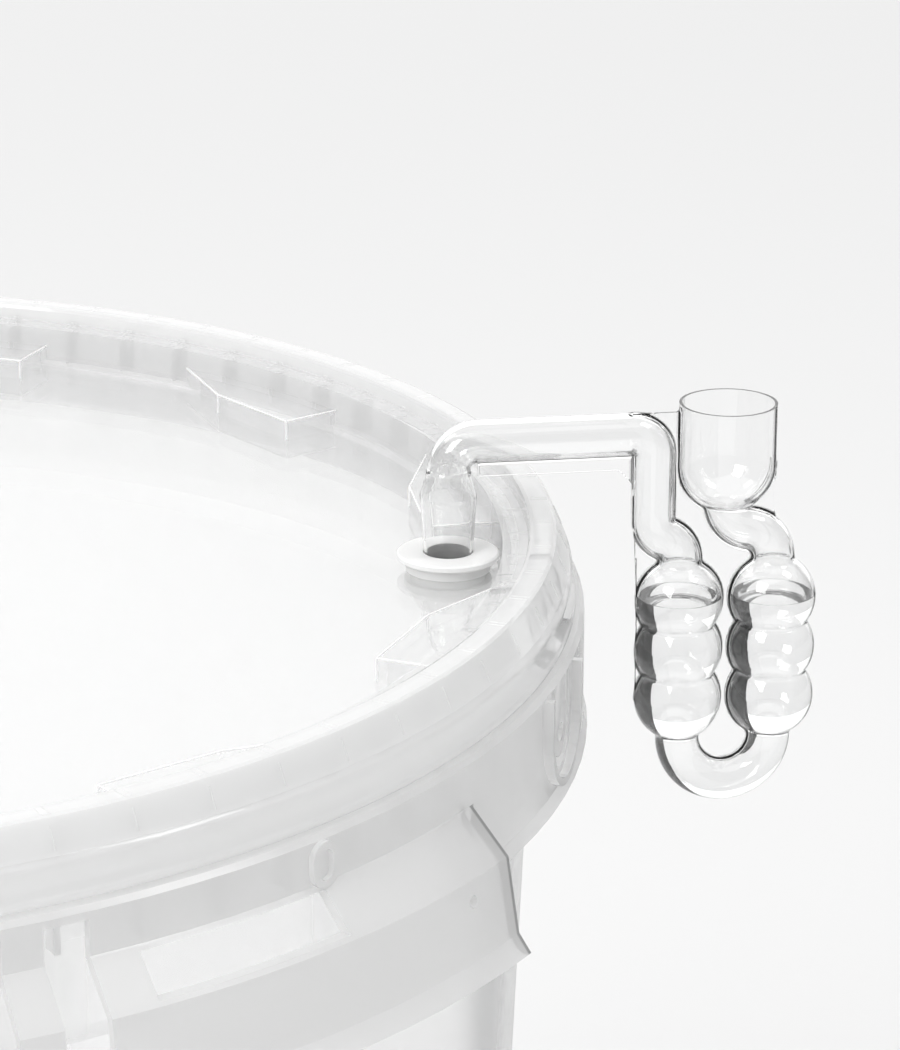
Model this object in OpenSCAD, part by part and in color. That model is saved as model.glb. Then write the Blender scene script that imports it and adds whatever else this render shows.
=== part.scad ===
// Fermenting bucket: push-on lid, rubber grommet and a twin-column bubble airlock
// Origin: centre of the base, on the surface that the bucket stands on. +Z is up.
// The front carrying grip faces -Y. Sizes are in millimetres, angles in degrees.

/* [Bucket body] */
// Floor to the top face of the closed lid
total_h = 390; // [300:1:480]
// How far the wall below the collar lies in from the rim
body_in = 3.5; // [2.5:0.5:9]
// How much smaller the wall's radius is at the foot than at the top
body_draft = 15; // [8:0.5:28]
// Wall of the bucket
body_wall = 2.0; // [1.6:0.1:2.6]
// Thickness of the base plate
base_t = 2.6; // [2:0.1:4]
// Height of the standing ring under the base
foot_h = 3; // [2:0.5:5]
// Width of the standing ring
foot_w = 6; // [4:0.5:10]

/* [Rim and collar] */
// Outer radius of the upright rim that the lid closes over; all the rest follows it
rim_r = 181.5; // [160:0.5:205]
// Height of the upright neck between the body and the rim's top
neck_h = 41; // [36:0.5:50]
// Snap bead: how far it stands out from the rim
bead_out = 2.0; // [1:0.1:2.2]
// Snap bead: depth of its middle below the lid's top
bead_drop = 9.5; // [9:0.1:10]
// How far the collar skirt stands out from the rim
collar_out = 7.5; // [6.5:0.5:10]
// Wall of the collar skirt and its shelf
collar_wall = 1.8; // [1.4:0.1:2.4]
// Height of the collar skirt
collar_h = 26; // [24:0.5:30]
// Flare of the collar's lower lip
collar_lip = 0.9; // [0.4:0.1:1.5]
// Angle between the stiffening webs behind the collar
web_pitch = 5; // [5, 10, 15]
// Thickness of a web
web_t = 1.2; // [0.8:0.1:1.6]

/* [Carrying grips] */
// Half of the angle that a grip spans
grip_half = 33; // [30:0.5:36]
// Depth of the grip's upper crease below the lid's top
grip_drop = 25; // [23:0.5:28]
// How far the grip's face stands out beyond the collar
grip_out = 8; // [6:0.5:12]
// Height of the sloping shoulder
shoulder_h = 8.5; // [6:0.5:12]
// Height of the grip's face under the shoulder
grip_face_h = 15; // [12:0.5:22]
// Draft of the grip's face: how much further out its lower edge is
grip_draft = 2.4; // [1:0.1:4]
// Height of the flared lip
grip_lip_h = 3.6; // [2:0.1:5]
// How far the lip flares out
grip_lip_out = 2.6; // [1:0.1:4]
// Wall of the grip
grip_wall = 1.8; // [1.4:0.1:2.4]
// Angle from the grip's middle to the near end of a shoulder window
window_near = 6.6; // [6:0.1:8]
// Angle that a shoulder window spans
window_span = 12.5; // [8:0.5:16]
// Angle that a light slot in the collar spans
slot_span = 2.6; // [2:0.1:3]
// Angle from the grip's middle to the middle of a light slot
slot_at = 2.5; // [2.2:0.1:3]
// Diameter of the vent hole near a grip's end
vent_d = 2.4; // [1.5:0.1:4]
// Angle from the grip's middle to the vent hole
vent_at = 29; // [26:0.5:30]

/* [Collar lugs] */
// Angle between a lug and the nearer end of the X axis
lug_at = 42.4; // [41:0.1:48]
// Width of the U-shaped rib of a lug
lug_w = 26; // [20:0.5:28]
// Height of the U-shaped rib
lug_h = 21.5; // [20:0.5:24]
// Thickness of the rib
lug_rib = 1.6; // [1:0.1:2.4]
// How far the rib stands out from the collar
lug_out = 1.6; // [1:0.1:3]
// Width of the tongue inside the U
tongue_w = 10; // [8:0.5:12]
// Width of the slot round the tongue
tongue_slot = 2.4; // [1.5:0.1:3]
// Diameter of the hole in the tongue
tongue_hole_d = 4; // [3:0.1:5]
// Width of the small oval ring above a window's outer corner
ring_w = 6.5; // [5:0.1:8]
// Height of the small oval ring
ring_h = 9; // [8:0.1:10]
// Thickness of the small oval ring
ring_rib = 1.5; // [1:0.1:1.8]
// How far the small oval ring stands out
ring_out = 1.2; // [0.6:0.1:2]

/* [Lid] */
// Wall of the lid
lid_wall = 1.8; // [1.4:0.1:2.0]
// Width of the raised ring over the rim
ring_top_w = 6; // [5.8:0.1:6.4]
// Depth of the lid's panel below its top
panel_drop = 12.5; // [11:0.1:14]
// How far the upright wall round the panel lies in from the rim
plug_in = 9.5; // [7.5:0.5:11.5]
// Depth of the ledge between the ring and the panel's wall
ledge_drop = 3.6; // [3:0.1:5]
// Radius of the small roundings
edge_r = 1.0; // [0.5:0.1:1.4]
// Clearance between the rim and the channel that closes over it
rim_gap = 0.3; // [0.2:0.05:0.5]
// Height of the lid's skirt above the tear groove
skirt_h = 6.4; // [6:0.1:7]
// How much the skirt flares out down to the groove
skirt_flare = 2.4; // [2:0.1:3]
// Angle between the gussets behind the panel's wall
gusset_pitch = 5; // [5, 10, 15]
// Direction of the first gusset
gusset_at = 3.9; // [0:0.1:5]
// Thickness of a gusset
gusset_t = 1.0; // [0.8:0.1:1.6]

/* [Stacking blocks] */
// Number of wedge blocks round the panel
block_count = 12; // [6:1:12]
// Height of a block above the panel
block_h = 4.4; // [3:0.1:6]
// How far a block reaches in from the panel's wall
block_reach = 14; // [10:0.5:18]
// Length of a block along its inner edge
block_front = 27; // [18:0.5:30]
// Length of a block along the wall
block_back = 50; // [40:0.5:56]
// Wall of a block, which is hollow from below
block_wall = 1.6; // [1.2:0.1:2]
// Angle of the first block's square end
block_at = 10.5; // [6:0.5:14]

/* [Tear band] */
// Height of the tear groove between the skirt and the band
tear_gap = 1.0; // [0.6:0.1:1.4]
// Depth of the tear groove
tear_depth = 0.8; // [0.4:0.1:1]
// Height of the band
band_h = 7.4; // [7:0.1:7.8]
// Thickness of the band
band_t = 1.7; // [1.2:0.1:2]
// Flare of the band
band_flare = 0.9; // [0.4:0.1:1.4]
// Clearance between the band's hooks and the snap bead
hook_gap = 0.3; // [0.25:0.05:0.5]

/* [Grommet] */
// How far the airlock hole's middle lies in from the rim
hole_in = 20.5; // [19.5:0.5:31.5]
// Direction of the airlock hole
hole_az = -25; // [-28:0.5:-22]
// Diameter of the upper flange
flange_d = 21.4; // [19:0.1:22]
// Thickness of the upper flange
flange_t = 1.5; // [1.2:0.1:2.5]
// Height of the neck that shows between the flange and the panel
collar_gap = 2.4; // [0.3:0.1:3]
// Diameter of the hole in the panel
panel_hole_d = 16; // [15:0.1:17]
// Diameter of the lower flange
tail_d = 18.4; // [17:0.1:19]
// Height of the tapering tail under the panel
tail_h = 6; // [4:0.5:8]
// Clearance between the grommet and the panel, and the stem and the bore
grommet_gap = 0.06; // [0.05:0.01:0.1]

/* [Airlock] */
// Direction in which the airlock's arm points
arm_az = -19; // [-30:0.5:-10]
// Outer diameter of the tubes
tube_d = 8.9; // [8:0.1:9.2]
// Wall of the airlock
lock_wall = 0.85; // [0.7:0.05:1]
// Height of the arm's axis above the grommet's top
arm_w = 23.7; // [22:0.1:26]
// Bend radius where the stem turns into the arm
bend_r = 6.2; // [5.5:0.1:7]
// Bend radius where the arm turns down
drop_bend_r = 4.7; // [4.7:0.1:6]
// Distance of the down tube from the stem
down_u = 43.4; // [42:0.1:45]
// Distance of the first column of bulbs from the stem
col_1_u = 49.35; // [48:0.05:50]
// Distance of the second column of bulbs from the stem
col_2_u = 69.6; // [69:0.05:71]
// Outer diameter of a bulb
bulb_d = 18.4; // [17.5:0.1:19]
// Distance between bulbs
bulb_pitch = 11.06; // [10.5:0.01:12]
// Number of bulbs in a column
bulb_count = 3; // [2:1:3]
// Height of the first bulb's middle below the grommet's top
bulb_drop = 13.3; // [12.5:0.1:14]
// Distance of the cup from the stem
cup_u = 59.1; // [58:0.1:60]
// Outer diameter of the cup
cup_d = 20.6; // [20:0.1:21]
// Height of the cup's rim above the grommet's top
cup_top_w = 29.7; // [28:0.1:31]
// Height of the cup's straight wall
cup_wall_h = 13.2; // [12:0.1:15]
// Height of the outlet under the cup above the grommet's top
cup_neck_w = 8.3; // [8:0.1:8.6]
// Widest diameter of the stem
stem_d = 12; // [11.6:0.1:12.4]
// Height of the stem's widest place above the grommet's top
stem_wide_w = 12.2; // [11:0.1:13]
// Diameter of the stem at the grommet's top
stem_seat_d = 10.4; // [10:0.1:10.8]
// Diameter at the stem's lower end
stem_end_d = 8.8; // [8.4:0.1:9.2]
// Length of the stem below the grommet's top
stem_below = 20; // [16:0.5:24]
// Thickness of the flat web that joins the tubes
web_plate_t = 1.0; // [0.8:0.1:1.4]
// Depth of the strip of web under the arm
arm_web = 3.4; // [2:0.1:5]
// Depth of the water's surface below the grommet's top
water_drop = 12.5; // [11:0.1:14]
// Clearance between the water and the wall
water_gap = 0.05; // [0.03:0.01:0.1]

/* [Hidden] */

GRIPS = [-90, 90];
LUGS = [lug_at, 180 - lug_at, 180 + lug_at, -lug_at];
body_top_r = rim_r - body_in;
body_foot_r = body_top_r - body_draft;
collar_r = rim_r + collar_out;
plug_r = rim_r - plug_in;
hole_r_at = rim_r - hole_in;
big_fn = 180;
small_fn = 64;
hole_fn = 32;
ring_fn = 96;
arc_steps = 16;
ball_steps = 20;
// How far one solid reaches into its neighbour where the two are one moulding
join = 0.5;
top_z = total_h;
rim_top_z = top_z - lid_wall - rim_gap;
rim_in_r = rim_r - body_wall;
neck_z = rim_top_z - neck_h;
bead_z = top_z - bead_drop;
bead_h = 3.2;
bead_r = rim_r + bead_out;
shelf_z = top_z - skirt_h - tear_gap - band_h - rim_gap * 2;
collar_low_z = shelf_z - collar_h;
collar_in_r = collar_r - collar_wall;
// Height of the step from the body out to the neck, and of the collar's lower lip
step_h = 3;
// Roundings of the rim, of the neck's foot and of the heel
rim_edge = 0.5;
neck_edge = 0.6;
heel_edge = 1;
floor_edge = 4;
// Height of a web's foot above the collar's lower edge
web_foot = 5;
// Half of the angle behind a lug that has no web
lug_clear = 4;
// Angles that a grip's end wall spans and lies back from the shell's end,
// and that the collar's skirt reaches in over the shell's end
end_wall_a = 0.5;
end_reveal_a = 0.4;
skirt_end_a = 0.2;
// Height by which a grip's inner surface lies below its outer bends
crease_in = 0.3;
face_in = 0.8;
lip_in = 0.4;
// Material left round a shoulder window, and above and below a light slot
window_rest = 0.7;
slot_rest = 2.5;
// Height of a vent hole below the top of the grip's face
vent_drop = 4;
// How far a cut reaches in behind the surface that it opens
cut_in = 2;
// Drop of a lug's open end below the collar's shelf
lug_drop = 1;
// Material between the slot's round end and the lug's rib
lug_floor = 1.5;
heel_h = 6;
heel_w = 6;
// How much more a block's pointed end is drawn in than its sides
block_skew = 2.6;
// How far a gusset reaches into the walls that it joins
gusset_in = 0.4;
groove_z = top_z - skirt_h;
lid_in_r = rim_in_r - rim_gap - lid_wall;
lid_out_r = lid_in_r + ring_top_w;
channel_in_r = rim_in_r - rim_gap;
channel_out_r = rim_r + rim_gap;
panel_z = top_z - panel_drop;
ledge_z = top_z - ledge_drop;
plug_out_r = plug_r + lid_wall;
skirt_out_r = lid_out_r + skirt_flare;
band_top_z = groove_z - tear_gap;
band_low_z = band_top_z - band_h;
band_out_r = skirt_out_r + band_flare;
hook_r = bead_r + hook_gap;
hook_h = 2.4;
// Bead along the band's lower edge, and the slopes of the bead and the hooks
band_bead = 0.5;
band_bead_h = 1.2;
band_slope = 0.4;
hook_slope = 0.6;
// Grommet: rounding of the flange, neck under it, edge of the tail and its wall at the end
flange_edge = 0.35;
neck_out = 0.9;
tail_edge = 1.2;
tail_wall = 1.6;
flange_top_z = panel_z + collar_gap + flange_t;
tube_r = tube_d / 2;
bulb_r = bulb_d / 2;
cup_r = cup_d / 2;
// Bowl of the cup: centre height of its round bottom
bowl_w = cup_top_w - cup_wall_h;
// Where a tube's side meets a bulb or the bowl, measured from the centre of the ball
bulb_meet = sqrt(bulb_r * bulb_r - tube_r * tube_r);
bulb_top_w = -bulb_drop + bulb_meet;
last_bulb_w = -bulb_drop - (bulb_count - 1) * bulb_pitch;
// Straight piece of tube between a bulb and the bend next to it
bulb_neck = 0.9;
// How far a straight piece of tube reaches into a bulb
ball_in = 2;
u_centre_w = last_bulb_w - bulb_meet - bulb_neck;
u_bend_r = (col_2_u - col_1_u) / 2;
u_mid_u = (col_1_u + col_2_u) / 2;
// Height over which a tube shifts sideways to the column below it
s_bend_h = 9.4;
// Height at which the bent tubes end above the top bulbs
inlet_w = bulb_top_w + bulb_neck;
// Tube ends stop this far, or this angle, short of the ball that joins them
tube_gap = 0.1;
slack = 1;
// How much further out that ball is than the tubes
knuckle_out = 0.05;
// Chamfer at the corner of the web under the arm
web_corner = 3;

// An upright ring with a rectangular section, used to cut sectors
module sector(r_in, r_out, z_low, z_high, a_from, a_to) {
    translate([0, 0, z_low])
        rotate([0, 0, a_from])
            rotate_extrude(angle = a_to - a_from, $fn = big_fn)
                polygon([[r_in, 0], [r_out, 0], [r_out, z_high - z_low], [r_in, z_high - z_low]]);
}

// Places children on the cylinder of radius r, with X along the tangent, Y up and Z outwards
module on_wall(r, az, z) {
    rotate([0, 0, az])
        translate([r, 0, z])
            rotate([90, 0, 90])
                children();
}

// Bucket
module bucket_shell() {
    foot_in_r = body_foot_r - heel_w - foot_w;
    rotate_extrude($fn = big_fn)
        polygon([
            [0, foot_h], [foot_in_r, foot_h], [foot_in_r + foot_h / 3, 0],
            [foot_in_r + foot_w, 0], [body_foot_r - heel_edge, heel_h - heel_edge],
            [body_foot_r, heel_h + 3 * heel_edge],
            [body_top_r, neck_z - step_h], [rim_r, neck_z],
            [rim_r, shelf_z - collar_wall], [collar_in_r, shelf_z - collar_wall],
            [collar_in_r, collar_low_z + step_h - lip_in], [collar_in_r + collar_lip, collar_low_z],
            [collar_r + collar_lip, collar_low_z], [collar_r, collar_low_z + step_h],
            [collar_r, shelf_z - edge_r], [collar_r - edge_r, shelf_z],
            [rim_r, shelf_z], [rim_r, bead_z - bead_h / 2 - bead_out / 2],
            [bead_r, bead_z - bead_h / 2], [bead_r, bead_z], [rim_r, bead_z + bead_h],
            [rim_r, rim_top_z - rim_edge], [rim_r - rim_edge, rim_top_z], [rim_in_r + rim_edge, rim_top_z],
            [rim_in_r, rim_top_z - rim_edge], [rim_in_r, neck_z + neck_edge],
            [body_top_r - body_wall, neck_z - step_h],
            [body_foot_r - body_wall, foot_h + base_t + floor_edge],
            [body_foot_r - body_wall - floor_edge, foot_h + base_t],
            [0, foot_h + base_t]
        ]);
}

// True where direction a lies within reach degrees of one of the directions in places
function is_near(a, places, reach) =
    len([for (c = places) if (abs((a - c + 540) % 360 - 180) < reach) c]) > 0;

// Webs behind the collar: short over the grips' hand room, none behind the lugs
module collar_webs() {
    for (i = [0 : 360 / web_pitch - 1]) {
        a = (i + 0.5) * web_pitch;
        low_z = is_near(a, GRIPS, grip_half) ? top_z - grip_drop : collar_low_z + web_foot;
        if (!is_near(a, LUGS, lug_clear))
            rotate([0, 0, a])
                translate([rim_r - join, -web_t / 2, low_z])
                    cube([collar_in_r - rim_r + 2 * join, web_t, shelf_z - collar_wall + join - low_z]);
    }
}

// One grip, with its middle on the +X axis
module grip_shell() {
    crease_z = top_z - grip_drop;
    face_z = crease_z - shoulder_h;
    lip_z = face_z - grip_face_h;
    face_r = collar_r + grip_out;
    lip_r = face_r + grip_draft;
    half_wall = grip_wall / 2;
    rotate([0, 0, -grip_half])
        rotate_extrude(angle = 2 * grip_half, $fn = big_fn)
            polygon([
                [collar_r - half_wall, crease_z + half_wall], [collar_r + crease_in, crease_z],
                [face_r, face_z], [lip_r, lip_z], [lip_r + grip_lip_out, lip_z - grip_lip_h],
                [lip_r + grip_lip_out - grip_wall, lip_z - grip_lip_h],
                [lip_r - grip_wall, lip_z - lip_in], [face_r - grip_wall, face_z - face_in],
                [collar_r - half_wall, crease_z - grip_wall]
            ]);
    // End walls, a little inside the ends of the shell
    for (s = [-1, 1]) {
        from = s > 0 ? grip_half - end_wall_a - end_reveal_a : end_reveal_a - grip_half;
        rotate([0, 0, from])
            rotate_extrude(angle = end_wall_a, $fn = big_fn)
                polygon([
                    [rim_r - join, shelf_z - collar_wall / 2],
                    [collar_r - half_wall, shelf_z - collar_wall / 2],
                    [collar_r - half_wall, crease_z - crease_in], [face_r - half_wall, face_z - crease_in],
                    [lip_r - half_wall, lip_z], [rim_r - join, neck_z + step_h / 2]
                ]);
    }
}

// Shoulder window on one side, s = 1 or -1, of a grip with its middle on the +X axis
module shoulder_window(s) {
    crease_z = top_z - grip_drop;
    middle = s * (window_near + window_span / 2);
    sector(collar_in_r - cut_in, collar_r + grip_out - window_rest,
        crease_z - shoulder_h + window_rest, crease_z - window_rest,
        middle - window_span / 2, middle + window_span / 2);
}

// Upright light slot beside the middle of the grip
module light_slot(s) {
    low_z = top_z - grip_drop - shoulder_h - grip_face_h + slot_rest;
    sector(collar_in_r - cut_in, collar_r + grip_out + grip_draft + cut_in, low_z, shelf_z - slot_rest,
        s * slot_at - slot_span / 2, s * slot_at + slot_span / 2);
}

module vent_hole(s) {
    rotate([0, 0, s * vent_at])
        translate([collar_r, 0, top_z - grip_drop - shoulder_h - vent_drop])
            rotate([0, 90, 0])
                cylinder(d = vent_d, h = 3 * grip_out, $fn = hole_fn);
}

// Points of a half circle of radius r round [0, y], from angle a to a + 180
function half_round(r, y, a) = [
    for (i = [0 : arc_steps])
        let (b = a + i * 180 / arc_steps) [r * cos(b), y + r * sin(b)]
];

// Band of width rib that follows a U of outer width w and height h, with its open end at the top
function u_band(w, h, rib) = concat(
    [[-w / 2, 0]], half_round(w / 2, w / 2 - h, 180), [[w / 2, 0], [w / 2 - rib, 0]],
    [for (i = [arc_steps : -1 : 0]) half_round(w / 2 - rib, w / 2 - h, 180)[i]], [[rib - w / 2, 0]]
);

function oval(w, h) = concat(half_round(w / 2, (w - h) / 2, 180), half_round(w / 2, (h - w) / 2, 0));

module lug_rib_solid() {
    linear_extrude(height = collar_wall / 2 + lug_out)
        polygon(u_band(lug_w, lug_h, lug_rib));
}

module lug_slot_cut() {
    slot_h = lug_h - lug_rib - lug_floor;
    linear_extrude(height = collar_wall * 3)
        polygon(u_band(tongue_w + 2 * tongue_slot, slot_h, tongue_slot));
    translate([0, -slot_h + tongue_slot + tongue_w / 2, 0])
        cylinder(d = tongue_hole_d, h = collar_wall * 3, $fn = hole_fn);
}

module oval_ring() {
    linear_extrude(height = collar_wall / 2 + ring_out)
        difference() {
            polygon(oval(ring_w, ring_h));
            polygon(oval(ring_w - 2 * ring_rib, ring_h - 2 * ring_rib));
        }
}

module bucket() {
    lug_z = shelf_z - lug_drop;
    ring_at = window_near + window_span;
    color("gainsboro")
        difference() {
            union() {
                difference() {
                    union() {
                        bucket_shell();
                        collar_webs();
                    }
                    for (g = GRIPS)
                        sector(collar_in_r - join, collar_r + cut_in, collar_low_z - cut_in,
                            top_z - grip_drop - grip_wall / 2,
                            g - grip_half + skirt_end_a, g + grip_half - skirt_end_a);
                }
                for (g = GRIPS)
                    rotate([0, 0, g])
                        grip_shell();
                for (g = LUGS)
                    on_wall(collar_r - collar_wall / 2, g, lug_z)
                        lug_rib_solid();
                for (g = GRIPS, s = [-1, 1])
                    on_wall(collar_r - collar_wall / 2, g + s * ring_at, shelf_z - ring_h / 2 - edge_r)
                        oval_ring();
            }
            for (g = GRIPS)
                rotate([0, 0, g])
                    for (s = [-1, 1]) {
                        shoulder_window(s);
                        light_slot(s);
                        vent_hole(s);
                    }
            for (g = LUGS)
                on_wall(collar_r - 2 * collar_wall, g, lug_z)
                    lug_slot_cut();
        }
}

// Lid
module lid_shell() {
    // Middle point of a rounding
    bevel = 0.3 * edge_r;
    rotate_extrude($fn = big_fn)
        polygon([
            [0, panel_z - lid_wall], [plug_out_r - edge_r, panel_z - lid_wall],
            [plug_out_r, panel_z - lid_wall + edge_r], [plug_out_r, ledge_z - lid_wall],
            [channel_in_r, ledge_z - lid_wall], [channel_in_r, top_z - lid_wall],
            [channel_out_r, top_z - lid_wall], [skirt_out_r - lid_wall, groove_z],
            [skirt_out_r, groove_z], [lid_out_r, top_z - edge_r], [lid_out_r - bevel, top_z - bevel],
            [lid_out_r - edge_r, top_z], [lid_in_r + edge_r, top_z], [lid_in_r + bevel, top_z - bevel],
            [lid_in_r, top_z - edge_r], [lid_in_r, ledge_z], [plug_r, ledge_z],
            [plug_r, panel_z + 2 * edge_r], [plug_r - 2 * bevel, panel_z + 2 * bevel],
            [plug_r - 2 * edge_r, panel_z], [0, panel_z]
        ]);
}

// How far out the panel's wall lies at a distance y beside a block's square end
function wall_at(y) = sqrt(pow(plug_r + join, 2) - y * y);

// Outline of a wedge block seen from above, drawn in by inset on its three free sides.
// Its square end lies on the X axis and the block grows towards +Y.
function block_outline(inset) = [
    [wall_at(inset), inset],
    [plug_r - block_reach + inset, inset],
    [plug_r - block_reach + inset, block_front - inset],
    [wall_at(block_back - block_skew * inset), block_back - block_skew * inset],
    [wall_at(block_back * 2 / 3), block_back * 2 / 3],
    [wall_at(block_back / 3), block_back / 3]
];

module stacking_blocks(inset, low, high) {
    for (i = [0 : block_count - 1])
        rotate([0, 0, block_at + i * 360 / block_count])
            translate([0, 0, low])
                linear_extrude(height = high - low)
                    polygon(block_outline(inset));
}

module lid_gussets() {
    for (a = [0 : gusset_pitch : 359])
        rotate([0, 0, a + gusset_at])
            translate([plug_out_r - gusset_in, -gusset_t / 2, panel_z])
                cube([
                    channel_in_r - plug_out_r - gusset_in, gusset_t,
                    ledge_z - lid_wall - panel_z + gusset_in
                ]);
}

module lid() {
    color("whitesmoke")
        difference() {
            union() {
                lid_shell();
                stacking_blocks(0, panel_z - lid_wall / 2, panel_z + block_h);
                lid_gussets();
            }
            stacking_blocks(block_wall, panel_z - lid_wall - cut_in, panel_z + block_h - block_wall);
            rotate([0, 0, hole_az])
                translate([hole_r_at, 0, panel_z - lid_wall - cut_in])
                    cylinder(d = panel_hole_d, h = lid_wall + 2 * cut_in, $fn = small_fn);
        }
}

// Tear band under the lid's skirt, with the thin strip behind the groove that holds it
module tear_band() {
    strip_r = band_out_r - band_flare - tear_depth;
    color("whitesmoke")
        rotate_extrude($fn = big_fn)
            polygon([
                [strip_r, groove_z], [strip_r, band_top_z], [band_out_r - band_flare, band_top_z],
                [band_out_r, band_low_z + band_bead_h + band_slope],
                [band_out_r + band_bead, band_low_z + band_bead_h],
                [band_out_r + band_bead, band_low_z],
                [band_out_r - band_t, band_low_z], [hook_r, band_low_z + hook_slope],
                [hook_r, band_low_z + hook_h - hook_slope], [band_out_r - band_t, band_low_z + hook_h],
                [band_out_r - band_flare - band_t, band_top_z],
                [band_out_r - band_flare - band_t, groove_z]
            ]);
}

// Rubber grommet in the lid's hole
module grommet() {
    neck_r = panel_hole_d / 2 - grommet_gap;
    under_z = panel_z - lid_wall - grommet_gap;
    bore_top = stem_seat_d / 2 + grommet_gap;
    taper = (stem_seat_d - stem_end_d) / 2 / stem_below;
    low_z = under_z - tail_h;
    bore_low = bore_top - taper * (flange_top_z - low_z);
    color("white")
        rotate([0, 0, hole_az])
            translate([hole_r_at, 0, 0])
                rotate_extrude($fn = ring_fn)
                    polygon([
                        [bore_top, flange_top_z], [flange_d / 2 - flange_edge, flange_top_z],
                        [flange_d / 2, flange_top_z - flange_edge],
                        [flange_d / 2, flange_top_z - flange_t + flange_edge],
                        [flange_d / 2 - flange_edge, flange_top_z - flange_t],
                        [neck_r + neck_out, flange_top_z - flange_t],
                        [neck_r + neck_out, panel_z + grommet_gap], [neck_r, panel_z + grommet_gap],
                        [neck_r, under_z], [tail_d / 2, under_z], [tail_d / 2, under_z - tail_edge],
                        [bore_low + tail_wall, low_z], [bore_low, low_z]
                    ]);
}

// Airlock, drawn in its own plane: X outwards from the stem, Y up from the grommet's top
module in_lock_plane() {
    rotate([0, 0, hole_az])
        translate([hole_r_at, 0, flange_top_z])
            rotate([0, 0, arm_az - hole_az])
                rotate([90, 0, 0])
                    children();
}

// Upright tube of radius r at u, from w_low to w_high
module post(u, w_low, w_high, r) {
    translate([u, w_low, 0])
        rotate([-90, 0, 0])
            cylinder(r = r, h = w_high - w_low, $fn = small_fn);
}

// Bend of bend radius br round the centre at u, w, starting at angle a and turning by sweep
module bend(u, w, br, a, sweep, r) {
    translate([u, w, 0])
        rotate([0, 0, a])
            rotate_extrude(angle = sweep, $fn = ring_fn)
                translate([br, 0])
                    circle(r = r, $fn = small_fn);
}

// Two bends that shift a tube from u_from at the top, w_high, to u_to at w_low
module s_bend(u_from, w_high, u_to, w_low, r) {
    shift = u_to - u_from;
    drop = w_high - w_low;
    turn = 2 * atan(shift / drop);
    br = drop / (2 * sin(turn));
    bend(u_from + br, w_high, br, 180 + slack, turn - 2 * slack, r);
    bend(u_to - br, w_low, br, slack, turn - 2 * slack, r);
}

// Ball that joins two tube ends which stop short of each other
module knuckle(u, w, r) {
    translate([u, w, 0])
        sphere(r = r + knuckle_out, $fn = small_fn);
}

// All round parts of the airlock but stem and cup, with their radii reduced by cut
module duct(cut) {
    r = tube_r - cut;
    elbow_w = arm_w - bend_r;
    down_top = arm_w - drop_bend_r;
    down_low = inlet_w + s_bend_h;
    // Elbow, arm and down tube
    bend(bend_r, elbow_w, bend_r, 90 + slack, 90 - 2 * slack, r);
    knuckle(0, elbow_w, r);
    knuckle(bend_r, arm_w, r);
    translate([bend_r + tube_gap, arm_w, 0])
        rotate([0, 90, 0])
            cylinder(r = r, h = down_u - drop_bend_r - bend_r - 2 * tube_gap, $fn = small_fn);
    knuckle(down_u - drop_bend_r, arm_w, r);
    bend(down_u - drop_bend_r, down_top, drop_bend_r, slack, 90 - 2 * slack, r);
    knuckle(down_u, down_top, r);
    post(down_u, down_low + tube_gap, down_top - tube_gap, r);
    knuckle(down_u, down_low, r);
    s_bend(down_u, down_low, col_1_u, inlet_w, r);
    knuckle((down_u + col_1_u) / 2, (down_low + inlet_w) / 2, r);
    // Outlet under the cup
    post(cup_u, cup_neck_w + tube_gap, bowl_w - cup_r / 2, r);
    knuckle(cup_u, cup_neck_w, r);
    s_bend(cup_u, cup_neck_w, col_2_u, inlet_w, r);
    knuckle((cup_u + col_2_u) / 2, (cup_neck_w + inlet_w) / 2, r);
    for (u = [col_1_u, col_2_u]) {
        knuckle(u, inlet_w, r);
        post(u, bulb_top_w - ball_in, inlet_w - tube_gap, r);
    }
    bulbs(0, cut);
    u_tube(cut);
}

// Bulbs of both columns from the numbered one down
module bulbs(from, cut) {
    for (u = [col_1_u, col_2_u], i = [from : bulb_count - 1])
        translate([u, -bulb_drop - i * bulb_pitch, 0])
            sphere(r = bulb_r - cut, $fn = small_fn);
}

// Tube that joins the two columns below
module u_tube(cut) {
    r = tube_r - cut;
    for (u = [col_1_u, col_2_u]) {
        post(u, u_centre_w + tube_gap, last_bulb_w - bulb_meet + ball_in, r);
        knuckle(u, u_centre_w, r);
    }
    bend(u_mid_u, u_centre_w, u_bend_r, 180 + slack, 180 - 2 * slack, r);
}

// Stem: from the elbow down through the grommet
module stem(cut, extra) {
    top_w = arm_w - bend_r - tube_gap;
    rotate([-90, 0, 0])
        rotate_extrude($fn = small_fn)
            polygon([
                [0, -stem_below - extra], [stem_end_d / 2 - cut, -stem_below - extra],
                [stem_end_d / 2 - cut, -stem_below], [stem_seat_d / 2 - cut, 0],
                [stem_d / 2 - cut, stem_wide_w], [tube_r - cut, top_w], [0, top_w]
            ]);
}

// Cup: a round bowl and a straight wall, open at the top
module cup(cut, extra) {
    r = cup_r - cut;
    translate([cup_u, 0, 0])
        rotate([-90, 0, 0])
            rotate_extrude($fn = small_fn)
                polygon(concat(
                    [for (i = [0 : arc_steps])
                        let (a = i * 90 / arc_steps) [r * sin(a), bowl_w - r * cos(a)]],
                    [[r, cup_top_w + extra], [0, cup_top_w + extra]]
                ));
}

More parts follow.
